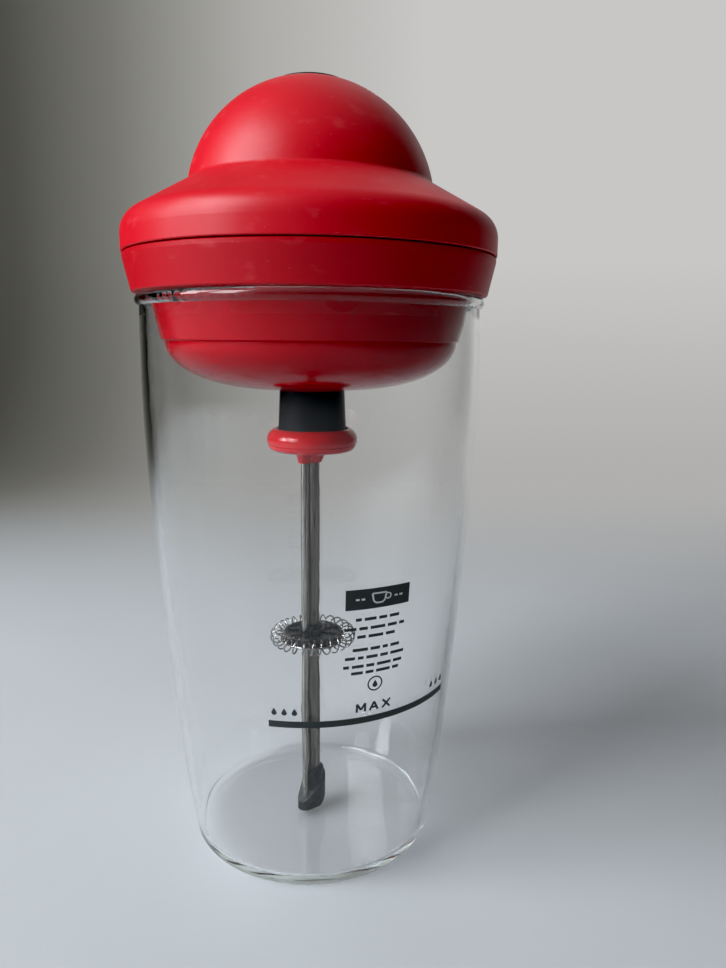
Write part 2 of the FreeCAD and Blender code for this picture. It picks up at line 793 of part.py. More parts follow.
# ---- write one file for each node ---------------------------------------------------------
FIXED = [
    glass_beaker, lid_base, drive_sleeve, sleeve_seal_ring, spindle_bush, spindle_seal,
    battery_cage, cage_screws, cell_springs, lower_contacts, upper_contacts, contact_cap,
    cap_screws, switch_board, switch_body, switch_plunger, motor_leads, motor_can,
    motor_magnets, motor_end_cap, motor_terminals, motor_retaining_ring, motor_shaft,
    motor_armature, motor_commutator, cover_gasket, dome_cover,
    button_guide, button_guide_screws, button_spring, power_button,
]
# the hexagon of the spindle is in line with the hub's, so it turns with the whisk
WHISK = [
    drive_spindle, whisk_hub, whisk_tube, whisk_rod, whisk_tip, frothing_disc, coil_ring, coil_hoop,
]

for make in FIXED:
    save(make.__name__, make())
for number, cell_angle in enumerate(CELL_ANGLES, start=1):
    save(f"battery_cell_{number}", battery_cell(cell_angle))
for make in WHISK:
    save(make.__name__, about_axis(make(), WHISK_TURN))
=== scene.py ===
import json
import math

import bpy
from mathutils import Matrix, Vector
from mathutils.bvhtree import BVHTree


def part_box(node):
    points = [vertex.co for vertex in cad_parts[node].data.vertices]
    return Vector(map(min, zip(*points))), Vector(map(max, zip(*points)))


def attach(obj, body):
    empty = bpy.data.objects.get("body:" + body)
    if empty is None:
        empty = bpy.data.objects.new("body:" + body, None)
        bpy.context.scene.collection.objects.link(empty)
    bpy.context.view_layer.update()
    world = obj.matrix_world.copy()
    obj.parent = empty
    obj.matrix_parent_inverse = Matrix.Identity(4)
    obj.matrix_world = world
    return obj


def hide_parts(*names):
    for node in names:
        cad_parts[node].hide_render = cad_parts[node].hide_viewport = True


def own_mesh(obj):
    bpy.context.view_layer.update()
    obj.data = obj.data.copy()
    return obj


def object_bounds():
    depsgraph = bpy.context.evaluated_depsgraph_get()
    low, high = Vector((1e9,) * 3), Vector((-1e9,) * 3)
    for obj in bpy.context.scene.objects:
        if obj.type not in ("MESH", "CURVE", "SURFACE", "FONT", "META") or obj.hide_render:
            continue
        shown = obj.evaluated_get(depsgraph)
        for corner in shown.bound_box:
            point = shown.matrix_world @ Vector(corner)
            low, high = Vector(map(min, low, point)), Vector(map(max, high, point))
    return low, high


# Looks of a battery milk frother: clear beaker, red domed lid, twin-shaft whisk.
# The stage, camera and lights stand in for the room that the photograph was taken in.
# Lengths are in metres, in the part's own frame: +Z up, -Y towards the printed marks.
# Colours are linear RGB, and the scale of a texture is a count per metre.

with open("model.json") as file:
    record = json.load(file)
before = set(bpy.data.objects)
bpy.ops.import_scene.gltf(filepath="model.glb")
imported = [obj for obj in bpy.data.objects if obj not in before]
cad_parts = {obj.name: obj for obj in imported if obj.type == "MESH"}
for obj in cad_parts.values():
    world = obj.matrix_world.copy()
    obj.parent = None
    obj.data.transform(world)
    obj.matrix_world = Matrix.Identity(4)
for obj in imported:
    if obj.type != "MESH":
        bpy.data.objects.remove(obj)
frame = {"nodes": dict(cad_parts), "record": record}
cad_low, cad_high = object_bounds()

MM = 0.001
NODES = frame["nodes"]


# ---- material helpers ------------------------------------------------------------------
class Finish:
    """A material made of nodes around one Principled shader."""

    def __init__(self, name, colour, roughness, **plain):
        self.material = bpy.data.materials.new(name)
        self.material.use_nodes = True
        self.tree = self.material.node_tree
        self.tree.nodes.clear()
        self.output = self.node("ShaderNodeOutputMaterial")
        self.shader = self.node("ShaderNodeBsdfPrincipled")
        self.join(self.shader.outputs[0], self.output.inputs["Surface"])
        self.place = self.node("ShaderNodeTexCoord").outputs["Object"]
        self.colour = (*colour, 1.0)
        self.shader.inputs["Base Color"].default_value = self.colour
        self.shader.inputs["Roughness"].default_value = roughness
        for socket, value in plain.items():
            self.shader.inputs[socket.replace("_", " ")].default_value = value

    def node(self, kind, **settings):
        made = self.tree.nodes.new(kind)
        for name, value in settings.items():
            setattr(made, name, value)
        return made

    def join(self, source, socket):
        self.tree.links.new(source, socket)

    def put(self, socket, value):
        """A link if value comes from a node, or else a plain number or colour."""
        if isinstance(value, bpy.types.NodeSocket):
            self.join(value, socket)
        else:
            socket.default_value = value

    def stretched(self, stretch, shift=(0, 0, 0)):
        mapping = self.node("ShaderNodeMapping")
        mapping.inputs["Scale"].default_value = stretch
        mapping.inputs["Location"].default_value = shift
        self.join(self.place, mapping.inputs["Vector"])
        return mapping.outputs[0]

    def noise(self, per_metre, detail=3.0, stretch=(1, 1, 1), shift=(0, 0, 0)):
        texture = self.node("ShaderNodeTexNoise")
        texture.inputs["Scale"].default_value = per_metre
        texture.inputs["Detail"].default_value = detail
        self.join(self.stretched(stretch, shift), texture.inputs["Vector"])
        return texture.outputs["Fac"]

    def spots(self, per_metre, stretch=(1, 1, 1)):
        texture = self.node("ShaderNodeTexVoronoi")
        texture.inputs["Scale"].default_value = per_metre
        self.join(self.stretched(stretch), texture.inputs["Vector"])
        return texture.outputs["Distance"]

    def span(self, value, low, high, out_low=0.0, out_high=1.0):
        """value, taken from low..high to out_low..out_high and held there."""
        made = self.node("ShaderNodeMapRange")
        self.put(made.inputs["Value"], value)
        for socket, number in zip(made.inputs[1:5], (low, high, out_low, out_high)):
            socket.default_value = number
        return made.outputs["Result"]

    def calc(self, operation, a, b):
        made = self.node("ShaderNodeMath", operation=operation)
        self.put(made.inputs[0], a)
        self.put(made.inputs[1], b)
        return made.outputs[0]

    def axes(self):
        made = self.node("ShaderNodeSeparateXYZ")
        self.join(self.place, made.inputs[0])
        return made.outputs

    def mix(self, share, a, b):
        """From colour a to colour b by share."""
        made = self.node("ShaderNodeMix", data_type="RGBA")
        self.put(made.inputs["Factor"], share)
        sockets = [socket for socket in made.inputs if socket.type == "RGBA"]
        for socket, value in zip(sockets, (a, b)):
            self.put(socket, (*value, 1.0) if isinstance(value, tuple) else value)
        return next(socket for socket in made.outputs if socket.type == "RGBA")

    def tinted(self, factor):
        """The plain colour, made lighter or darker."""
        return tuple(min(1.0, c * factor) for c in self.colour[:3])

    def paint(self, value):
        self.put(self.shader.inputs["Base Color"], value)

    def rough(self, value):
        self.put(self.shader.inputs["Roughness"], value)

    def bump(self, height, distance):
        made = self.node("ShaderNodeBump")
        made.inputs["Distance"].default_value = distance
        self.join(height, made.inputs["Height"])
        self.join(made.outputs[0], self.shader.inputs["Normal"])


def moulded(name, colour, roughness, grain=0.00001, change=0.12, per_metre=90, **plain):
    """Moulded plastic or rubber: cloudy colour, uneven gloss and a fine grain."""
    finish = Finish(name, colour, roughness, **plain)
    cloud = finish.noise(per_metre, 4.0)
    finish.paint(finish.mix(cloud, finish.tinted(1 - change), finish.tinted(1 + change)))
    gloss = finish.noise(per_metre * 5, 3.0)
    finish.rough(finish.span(gloss, 0.3, 0.7, roughness * 0.85, roughness * 1.2))
    finish.bump(finish.noise(4200, 2.0), grain)
    return finish


def metal(name, colour, roughness, stretch=(1, 1, 1), depth=0.000004, stain=0.25, **plain):
    """Drawn, turned or rolled metal, its marks stretched along one axis."""
    finish = Finish(name, colour, roughness, Metallic=1.0, **plain)
    marks = finish.noise(900, 3.0, stretch)
    stains = finish.span(finish.noise(130, 4.0, shift=(0.3, 0.1, 0)), 0.42, 0.75)
    wear_and_painted_streaks = finish.mix(marks, finish.tinted(0.82), finish.tinted(1.12))
    finish.paint(finish.mix(finish.calc("MULTIPLY", stains, stain), wear_and_painted_streaks, finish.tinted(0.45)))
    finish.rough(finish.span(marks, 0.25, 0.75, roughness * 0.75, roughness * 1.3))
    finish.bump(marks, depth)
    return finish


# ---- finishes --------------------------------------------------------------------------
SHELL_RED = (0.56, 0.004, 0.014)
BASE_SHADE = 0.84                # the base's red against the cover's
SCUFF_PINK = (0.80, 0.16, 0.17)


def scuffed(finish, base):
    """Faint pale scuffs, fine scratches and specks of dust over a colour."""
    cloudy = finish.noise(150, 5.0, (1, 1, 2.2), (0.1, 0.4, 0))
    scuffs = finish.span(cloudy, 0.60, 0.80, 0.0, 0.20)
    streaky = finish.noise(340, 2.0, (0.35, 1.6, 5.0), (2.0, 0, 1))
    scratches = finish.span(streaky, 0.725, 0.77, 0.0, 0.34)
    specks = finish.span(finish.spots(620), 0.03, 0.10, 0.55, 0.0)
    sparse = finish.span(finish.noise(230, 2.0, shift=(5, 5, 5)), 0.55, 0.62)
    marks = finish.calc("MAXIMUM", scuffs, scratches)
    marks = finish.calc("MAXIMUM", marks, finish.calc("MULTIPLY", specks, sparse))
    return finish.mix(marks, base, SCUFF_PINK), marks


def red_shell():
    """Soft-touch satin red of the cover."""
    finish = Finish("red_shell", SHELL_RED, 0.42, Specular_IOR_Level=0.34)
    cloud = finish.noise(38, 5.0)
    base = finish.mix(cloud, finish.tinted(0.86), finish.tinted(1.10))
    wear_and_painted_streaks, marks = scuffed(finish, base)
    finish.paint(wear_and_painted_streaks)
    gloss = finish.span(finish.noise(75, 4.0, shift=(1, 2, 3)), 0.3, 0.7, 0.37, 0.47)
    finish.rough(finish.calc("ADD", gloss, finish.calc("MULTIPLY", marks, 0.25)))
    finish.bump(finish.noise(3600, 2.0), 0.000012)
    return finish


def red_base():
    """The lid base: satin on its outer ring, polished on the bowl that hangs in the glass."""
    colour = [BASE_SHADE * share for share in SHELL_RED]
    finish = Finish("red_base", colour, 0.3, Specular_IOR_Level=0.3)
    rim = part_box("glass_beaker")[1].z
    outside = finish.span(finish.axes()[2], rim - 0.0002, rim + 0.0003)
    base = finish.mix(finish.noise(38, 5.0), finish.tinted(0.84), finish.tinted(1.06))
    wear_and_painted_streaks, marks = scuffed(finish, base)
    finish.paint(finish.mix(outside, base, wear_and_painted_streaks))
    satin = finish.calc("ADD", finish.calc("MULTIPLY", outside, 0.26), 0.15)
    finish.rough(finish.calc("ADD", satin, finish.calc("MULTIPLY", marks, 0.15)))
    finish.bump(finish.calc("MULTIPLY", finish.noise(3600, 2.0), outside), 0.000012)
    return finish


def red_hub():
    """Glossy red, with the faint flow marks of a small moulding."""
    finish = Finish("red_hub", (0.60, 0.003, 0.008), 0.14, Specular_IOR_Level=0.45)
    finish.paint(finish.mix(finish.noise(210, 3.0), finish.tinted(0.84), finish.tinted(1.08)))
    finish.rough(finish.span(finish.noise(700, 3.0, (1, 1, 3)), 0.3, 0.75, 0.10, 0.24))
    finish.bump(finish.noise(420, 2.0), 0.00002)
    return finish


def clear_glass():
    """Blown glass: clear, a little green through its thickness, rippled at its bead.

    Shadow rays meet a plain grey filter instead, as a refracting wall would stop them.
    """
    finish = Finish("clear_glass", (1.0, 1.0, 1.0), 0.0, Transmission_Weight=1.0, IOR=1.47,
                    Specular_IOR_Level=0.14)
    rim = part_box("glass_beaker")[1].z
    bead = finish.span(finish.axes()[2], rim - 0.006, rim - 0.002, 0.035, 1.0)
    ripples = finish.noise(60, 1.0, (1, 1, 0.5))
    finish.bump(finish.calc("MULTIPLY", ripples, bead), 0.0005)
    depth = finish.node("ShaderNodeVolumeAbsorption")
    depth.inputs["Color"].default_value = (0.55, 0.80, 0.77, 1.0)
    depth.inputs["Density"].default_value = 6.0
    finish.join(depth.outputs[0], finish.output.inputs["Volume"])
    filtered = finish.node("ShaderNodeBsdfTransparent")
    filtered.inputs["Color"].default_value = (0.62, 0.62, 0.62, 1.0)
    both = finish.node("ShaderNodeMixShader")
    finish.join(finish.node("ShaderNodeLightPath").outputs["Is Shadow Ray"], both.inputs[0])
    finish.join(finish.shader.outputs[0], both.inputs[1])
    finish.join(filtered.outputs[0], both.inputs[2])
    finish.join(both.outputs[0], finish.output.inputs["Surface"])
    return finish


def black_sleeve():
    return moulded("black_sleeve", (0.004, 0.0042, 0.005), 0.38,
                   grain=0.000008, change=0.3, Specular_IOR_Level=0.1)


def button_black():
    return moulded("button_black", (0.012, 0.012, 0.013), 0.5, grain=0.00003, change=0.2)


def black_plastic():
    """The disc: bluish black, cloudy and finely rough."""
    finish = Finish("black_plastic", (0.005, 0.007, 0.014), 0.3, Specular_IOR_Level=0.05)
    finish.paint(finish.mix(finish.noise(420, 4.0), finish.tinted(0.6), finish.tinted(1.6)))
    finish.rough(finish.span(finish.noise(800, 3.0), 0.3, 0.7, 0.26, 0.42))
    finish.bump(finish.noise(1500, 3.0), 0.00002)
    return finish


def tip_plastic():
    return moulded("tip_plastic", (0.003, 0.0045, 0.006), 0.25,
                   change=0.3, per_metre=260, Specular_IOR_Level=0.15)


def dark_rubber():
    return moulded("dark_rubber", (0.02, 0.02, 0.021), 0.62, grain=0.00003, change=0.2)


def bush_brass():
    return metal("bush_brass", (0.78, 0.56, 0.24), 0.28, (1, 1, 6))


def grey_moulding():
    return moulded("grey_moulding", (0.22, 0.225, 0.23), 0.46, grain=0.00002)


def white_plastic():
    return moulded("white_plastic", (0.72, 0.71, 0.68), 0.4, change=0.06)


def screw_steel():
    return metal("screw_steel", (0.60, 0.60, 0.58), 0.3, (1, 1, 5))


def spring_steel():
    return metal("spring_steel", (0.62, 0.62, 0.61), 0.22, (1, 1, 4))


def contact_metal():
    return metal("contact_metal", (0.72, 0.70, 0.64), 0.3, (6, 0.6, 1))


def circuit_board():
    """Green solder mask over fine copper lines."""
    finish = Finish("circuit_board", (0.012, 0.13, 0.045), 0.36)
    tracks = finish.node("ShaderNodeTexBrick")
    tracks.inputs["Scale"].default_value = 420
    tracks.inputs["Mortar Size"].default_value = 0.035
    for socket, shade in (("Color1", 0), ("Color2", 0), ("Mortar", 1)):
        tracks.inputs[socket].default_value = (shade, shade, shade, 1)
    finish.join(finish.place, tracks.inputs["Vector"])
    lines = tracks.outputs["Color"]
    finish.paint(finish.mix(lines, finish.tinted(1.0), (0.05, 0.26, 0.08)))
    finish.bump(lines, 0.00003)
    return finish


def wire_sleeve():
    return moulded("wire_sleeve", (0.35, 0.02, 0.018), 0.42, change=0.1)


def motor_steel():
    return metal("motor_steel", (0.66, 0.66, 0.64), 0.32, (0.4, 0.4, 3), stain=0.15)


def magnet_ferrite():
    return moulded("magnet_ferrite", (0.035, 0.034, 0.034), 0.7, grain=0.00005, change=0.3)


def armature_iron():
    """A stack of thin plates."""
    finish = metal("armature_iron", (0.34, 0.33, 0.32), 0.42, stain=0.4)
    plates = finish.node("ShaderNodeTexWave", bands_direction="Z")
    plates.inputs["Scale"].default_value = 320
    finish.join(finish.place, plates.inputs["Vector"])
    finish.bump(plates.outputs["Fac"], 0.00008)
    return finish


def shaft_steel(name="shaft_steel", colour=(0.37, 0.355, 0.32)):
    """Drawn stainless tube and rod: lines along the shaft, faint rings across it. The lines are
    bumped as drawing marks, and also painted as dark and light streaks, a painted reflection.
    """
    finish = Finish(name, colour, 0.12, Metallic=1.0)
    along = finish.noise(1500, 3.0, (1, 1, 0.02))
    rings = finish.noise(1100, 2.0, (0.05, 0.05, 1), (0, 0, 4))
    # Painted reflection: the lines along the shaft swing the colour from dark to light, as a
    # mirrored room would. The same lines are real drawing marks in the bump.
    wear_and_painted_streaks = finish.mix(finish.span(along, 0.36, 0.64), finish.tinted(0.45), finish.tinted(1.6))
    stains = finish.span(finish.noise(90, 4.0, (1, 1, 0.6)), 0.5, 0.75, 0.0, 0.35)
    finish.paint(finish.mix(stains, wear_and_painted_streaks, finish.tinted(0.6)))
    finish.rough(finish.span(rings, 0.3, 0.7, 0.07, 0.16))
    finish.bump(finish.calc("ADD", along, finish.calc("MULTIPLY", rings, 1.2)), 0.000005)
    return finish


def coil_steel():
    return metal("coil_steel", (0.42, 0.42, 0.41), 0.08, depth=0.000001, stain=0.1)


def cell_wrap():
    """A plain printed sleeve in two colours, with bare metal at both ends of the cell."""
    low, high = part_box("battery_cell_1")
    finish = Finish("cell_wrap", (0.05, 0.09, 0.22), 0.3)
    height = finish.axes()[2]
    band = finish.span(height, high.z - 0.0162, high.z - 0.0160)
    wrap = finish.mix(band, finish.tinted(1.0), (0.55, 0.56, 0.57))
    over_line = finish.span(height, high.z - 0.0185, high.z - 0.0184)
    under_line = finish.span(height, high.z - 0.0176, high.z - 0.0175, 1.0, 0.0)
    line = finish.calc("MULTIPLY", over_line, under_line)
    printed = finish.mix(line, wrap, (0.70, 0.70, 0.70))
    bare_foot = finish.span(height, low.z + 0.0008, low.z + 0.0009, 1.0, 0.0)
    bare_top = finish.span(height, high.z - 0.0016, high.z - 0.0015)
    bare = finish.calc("MAXIMUM", bare_foot, bare_top)
    cloud = finish.span(finish.noise(300, 3.0), 0.3, 0.7, 0.0, 0.12)
    metal_ends = finish.mix(bare, printed, (0.62, 0.61, 0.58))
    finish.paint(finish.mix(cloud, metal_ends, (0.02, 0.02, 0.02)))
    finish.put(finish.shader.inputs["Metallic"], bare)
    return finish


def print_ink():
    """Screen-printed ink: dark grey-green, a little thin in places."""
    return moulded("print_ink", (0.022, 0.030, 0.030), 0.45, change=0.25, per_metre=600)


def print_white():
    return moulded("print_white", (0.78, 0.80, 0.80), 0.5, change=0.05, per_metre=600)


MAKERS = (
    clear_glass, red_shell, red_hub, black_sleeve, button_black, black_plastic, tip_plastic,
    dark_rubber, bush_brass, grey_moulding, white_plastic, screw_steel, spring_steel,
    contact_metal, circuit_board, wire_sleeve, motor_steel, magnet_ferrite, armature_iron,
    shaft_steel, coil_steel, cell_wrap,
)
FINISHES = {make.__name__: make().material for make in MAKERS}


def dress_cad_nodes():
    """Each CAD node takes its slot's finish. The lid base has its own, and the tube a darker
    copy of the shaft steel as painted shade.
    """
    for part in frame["record"]["subparts"]:
        node = NODES[part["node"]]
        finish = FINISHES[part["material_slot"]]
        for slot in node.material_slots:
            slot.material = finish
    for slot in NODES["lid_base"].material_slots:
        slot.material = red_base().material
    # Painted shade: the tube's copy of the shaft steel is darker than the rod's, for the darker
    # look the tube has.
    for slot in NODES["whisk_tube"].material_slots:
        slot.material = shaft_steel("tube_steel_shaded", (0.17, 0.15, 0.13)).material


# ---- mesh helpers ----------------------------------------------------------------------
def mesh_piece(name, points, faces, finish, body, smooth=True):
    mesh = bpy.data.meshes.new(name)
    mesh.from_pydata(points, [], faces)
    mesh.validate()
    if smooth:
        mesh.shade_smooth()
    piece = bpy.data.objects.new(name, mesh)
    bpy.context.scene.collection.objects.link(piece)
    piece.data.materials.append(finish)
    if body:
        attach(piece, body)
    return piece


WIRE_SIDES = 10


def wire(path, radius, closed=True):
    """A round wire along a path, given as points. Returns its points and faces."""
    sides = WIRE_SIDES
    count = len(path)
    points, faces = [], []
    for i, here in enumerate(path):
        if closed:
            ahead = path[(i + 1) % count] - path[i - 1]
        else:
            ahead = path[min(i + 1, count - 1)] - path[max(i - 1, 0)]
        across = ahead.cross(Vector((here.x, here.y, 0))).normalized()
        other = ahead.normalized().cross(across)
        for j in range(sides):
            turn = math.tau * j / sides
            points.append(here + radius * (math.cos(turn) * across + math.sin(turn) * other))
    for i in range(count if closed else count - 1):
        for j in range(sides):
            a, b = i * sides, ((i + 1) % count) * sides
            k = (j + 1) % sides
            faces.append((a + j, a + k, b + k, b + j))
    if not closed:
        last = (count - 1) * sides
        faces += [tuple(reversed(range(sides))), tuple(range(last, last + sides))]
    return points, faces


# ---- garter coil -----------------------------------------------------------------------
COIL_TURNS = 27
COIL_STEPS = 30           # points to a turn
COIL_WIRE = 0.25 * MM     # radius of the wire
# How the turns bunch up: waves round the ring, their size in turns, and their phase.
COIL_DRIFT = ((2, 0.9, 0.6), (5, 0.35, 0.0), (11, 0.15, 0.0))


def garter_coil():
    """One wire wound in a closed ring round the disc. Its turns are a little uneven."""
    low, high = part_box("coil_ring")
    turn_r = (high.z - low.z) / 2 - COIL_WIRE
    ring_r = high.x - turn_r - COIL_WIRE
    middle = (low.z + high.z) / 2
    steps = COIL_TURNS * COIL_STEPS
    path = []
    for i in range(steps):
        wound = math.tau * COIL_TURNS * i / steps
        even = math.tau * i / steps
        drift = sum(size * math.sin(waves * even + phase) for waves, size, phase in COIL_DRIFT)
        sweep = even + drift / COIL_TURNS
        out = ring_r + turn_r * math.cos(wound)
        z = middle + turn_r * math.sin(wound)
        path.append(Vector((out * math.cos(sweep), out * math.sin(sweep), z)))
    points, faces = wire(path, COIL_WIRE)
    piece = mesh_piece("garter_coil", points, faces, FINISHES["coil_steel"], "disc")
    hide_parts("coil_ring")


# ---- button spring ---------------------------------------------------------------------
SPRING_R = 4.3 * MM      # middle of the wire to the axis
SPRING_TURNS = 5
SPRING_STEPS = 36        # points to a turn
FLAT_TURNS = 0.75        # at each end


def button_coil():
    """The button's spring: a helix with flat ends."""
    low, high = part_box("button_spring")
    radius = high.x - SPRING_R
    bottom, rise = low.z + radius, high.z - low.z - 2 * radius
    steps = SPRING_TURNS * SPRING_STEPS
    path = []
    for i in range(steps + 1):
        turns = SPRING_TURNS * i / steps
        climb = min(max((turns - FLAT_TURNS) / (SPRING_TURNS - 2 * FLAT_TURNS), 0.0), 1.0)
        x, y = SPRING_R * math.cos(math.tau * turns), SPRING_R * math.sin(math.tau * turns)
        path.append(Vector((x, y, bottom + rise * climb)))
    points, faces = wire(path, radius, closed=False)
    steel = FINISHES["spring_steel"]
    piece = mesh_piece("button_coil", points, faces, steel, "cover")
    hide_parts("button_spring")
    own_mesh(piece)


# ---- printed marks ---------------------------------------------------------------------
PRINT_TURN = math.radians(-6.5)   # middle of the print, about +Z from -Y towards +X
PRINT_R = 43.6 * MM               # radius that widths along the glass are measured at
INK_LIFT = 0.02 * MM              # gap between the glass and the ink
INK_T = 0.04 * MM                 # thickness of the ink
BAR_STEP = 1.2 * MM               # longest straight run of a bar round the glass
STROKE_STEP = 1.0 * MM
DROP_STEPS = 12
RAY_START = 0.2                   # outside the glass, from the axis


def glass_skin():
    mesh = NODES["glass_beaker"].data
    corners = [vertex.co for vertex in mesh.vertices]
    return BVHTree.FromPolygons(corners, [face.vertices for face in mesh.polygons])


SKIN = glass_skin()


def on_glass(across, z, lift):
    """A point above the glass: across is measured along it from the print's middle."""
    turn = PRINT_TURN + across / PRINT_R
    out = Vector((math.sin(turn), -math.cos(turn), 0))
    hit = SKIN.ray_cast(out * RAY_START + Vector((0, 0, z)), -out)[0]
    return hit + out * lift


class Print:
    """Flat marks laid on the glass as thin closed strips."""

    def __init__(self):
        self.points, self.faces = [], []

    def strip(self, pairs, closed=False):
        """A band between pairs of (across, z) points."""
        start, count = len(self.points), len(pairs)
        for one, other in pairs:
            for place in (one, other):
                self.points.append(on_glass(*place, INK_LIFT + INK_T))
                self.points.append(on_glass(*place, INK_LIFT))
        ring = [start + 4 * i for i in range(count)]
        for a, b in zip(ring, ring[1:] + ring[:1] if closed else ring[1:]):
            self.faces += [(a, a + 2, b + 2, b), (a + 1, b + 1, b + 3, a + 3),
                           (a, b, b + 1, a + 1), (a + 2, a + 3, b + 3, b + 2)]
        if not closed:
            a, b = ring[0], ring[-1]
            self.faces += [(a, a + 1, a + 3, a + 2), (b, b + 2, b + 3, b + 1)]

    def bar(self, left, right, low, high):
        steps = max(1, math.ceil((right - left) / BAR_STEP))
        places = [left + (right - left) * i / steps for i in range(steps + 1)]
        self.strip([((x, high), (x, low)) for x in places])

    def stroke(self, start, end, width):
        """A straight pen stroke."""
        (x0, z0), (x1, z1) = start, end
        length = math.hypot(x1 - x0, z1 - z0)
        nx, nz = -(z1 - z0) / length * width / 2, (x1 - x0) / length * width / 2
        steps = max(1, math.ceil(length / STROKE_STEP))
        pairs = []
        for i in range(steps + 1):
            x, z = x0 + (x1 - x0) * i / steps, z0 + (z1 - z0) * i / steps
            pairs.append(((x + nx, z + nz), (x - nx, z - nz)))
        self.strip(pairs)

    def hoop(self, x, z, radius, width, steps=40):
        pairs = []
        for i in range(steps):
            turn = math.tau * i / steps
            c, s = math.cos(turn), math.sin(turn)
            inner, outer = radius - width / 2, radius + width / 2
            pairs.append(((x + outer * c, z + outer * s), (x + inner * c, z + inner * s)))
        self.strip(pairs, closed=True)

    def droplet(self, x, z, radius):
        """A drop: round below and drawn to a point above."""
        pairs = []
        for i in range(DROP_STEPS + 1):
            share = i / DROP_STEPS
            swell = math.sin(math.pi * share ** 0.62) * (1 - share * 0.12)
            half = radius * swell + 0.02 * MM
            level = z - radius + share * 2.9 * radius
            pairs.append(((x + half, level), (x - half, level)))
        self.strip(pairs)

    def piece(self, name, finish):
        mesh_piece(name, self.points, self.faces, finish, "beaker", smooth=False)


LEVEL_Z = 53.4 * MM
LEVEL_REACH = math.radians(37)    # how far the line runs round the glass to each side
LEVEL_HALF = 0.95 * MM            # half its width
LETTER_W = 2.3 * MM
LETTER_STEP = 3.7 * MM            # from one letter to the next
LETTER_PEN = 0.62 * MM
LETTERS = {                       # strokes in a box that is 1 wide and 1 high
    "M": (((0, 0), (0, 1)), ((0, 1), (0.5, 0.25)), ((0.5, 0.25), (1, 1)), ((1, 1), (1, 0))),
    "A": (((0, 0), (0.5, 1)), ((0.5, 1), (1, 0)), ((0.2, 0.35), (0.8, 0.35))),
    "X": (((0, 0), (1, 1)), ((0, 1), (1, 0))),
}


def level_mark(ink):
    """The fill line, the word MAX over it, and three droplets to each side."""
    line = Print()
    half = LEVEL_REACH * PRINT_R
    line.bar(-half, half, LEVEL_Z - LEVEL_HALF, LEVEL_Z + LEVEL_HALF)
    line.piece("print_level_line", ink)
    words = Print()
    low, high = LEVEL_Z + 2.5 * MM, LEVEL_Z + 4.9 * MM
    left = -LETTER_STEP - 1.1 * MM
    for letter in "MAX":
        for stroke in LETTERS[letter]:
            ends = [(left + LETTER_W * x, low + (high - low) * y) for x, y in stroke]
            words.stroke(*ends, LETTER_PEN)
        left += LETTER_STEP
    for side in (-1, 1):
        for i in range(3):
            words.droplet(side * (21.2 + 2.7 * i) * MM, low + 0.8 * MM, 0.72 * MM)
    words.piece("print_level_words", ink)


PLATE_Z = 87.9 * MM
PLATE_HALF = (8.6 * MM, 2.75 * MM)
CUP_PEN = 0.42 * MM
CUP_LIFT = 1.0012                 # the cup stands this much further out than the plate
CUP_OUTLINE = (                   # in millimetres from the plate's middle
    (-1.9, 1.3), (-1.5, -0.7), (-0.8, -1.3), (0.8, -1.3), (1.5, -0.7), (1.9, 1.3), (-1.9, 1.3),
)
PLATE_DASHES = (-5.6, -4.2, 4.6, 6.0)


def plate_mark(ink, white):
    """A plain dark plate with the outline of a cup and two dashes to each side of it."""
    plate = Print()
    wide, high = PLATE_HALF
    plate.bar(-wide, wide, PLATE_Z - high, PLATE_Z + high)
    plate.piece("print_plate", ink)
    cup = Print()
    for stroke in zip(CUP_OUTLINE, CUP_OUTLINE[1:]):
        cup.stroke(*[(x * MM, PLATE_Z + z * MM) for x, z in stroke], CUP_PEN)
    cup.hoop(2.35 * MM, PLATE_Z + 0.25 * MM, 0.75 * MM, CUP_PEN * 0.8, 20)
    for x in PLATE_DASHES:
        cup.bar((x - 0.45) * MM, (x + 0.45) * MM, PLATE_Z - 0.25 * MM, PLATE_Z + 0.25 * MM)
    cup.points = [Vector((p.x * CUP_LIFT, p.y * CUP_LIFT, p.z)) for p in cup.points]
    cup.piece("print_plate_cup", white)


# The note's rows, all in millimetres: height and half width of each row, then its dashes.
NOTE_ROWS = (
    (82.4, 5.9), (79.9, 8.8), (77.6, 5.4), (74.0, 6.5), (71.7, 8.4), (69.3, 8.8), (67.4, 6.7),
)
DASHES = (1.5, 3.1, 2.2, 4.0, 2.6)
DASH_HALF = 0.42
DASH_GAP = 0.75
DASH_LEAST = 0.5                  # a row with no more room than this has no further dash


def note_mark(ink):
    """Rows of short dashes where a note would stand, and a ringed droplet below them."""
    note = Print()
    for row, (z, half) in enumerate(NOTE_ROWS):
        x = -half
        turn = row
        while x < half - DASH_LEAST:
            length = min(DASHES[turn % len(DASHES)], half - x)
            note.bar(x * MM, (x + length) * MM, (z - DASH_HALF) * MM, (z + DASH_HALF) * MM)
            x += length + DASH_GAP
            turn += 1
    note.piece("print_note_rows", ink)
    ring = Print()
    ring.hoop(0, 63.7 * MM, 1.95 * MM, 0.4 * MM)
    ring.droplet(0, 63.3 * MM, 0.72 * MM)
    ring.piece("print_ringed_drop", ink)


# ---- stage -----------------------------------------------------------------------------
CAMERA_AT = Vector((-0.10605, -0.19946, 0.1522))
LOOK_TURN = math.radians(31.89)   # from +Y towards +X
LOOK_DOWN = math.radians(10.79)
LOOK_ROLL = math.radians(0.56)
LENS = 28.14                      # millimetres, on a sensor 36 mm wide
SENSOR = 36

AHEAD = Vector((math.sin(LOOK_TURN), math.cos(LOOK_TURN), 0))
RIGHT = Vector((math.cos(LOOK_TURN), -math.sin(LOOK_TURN), 0))


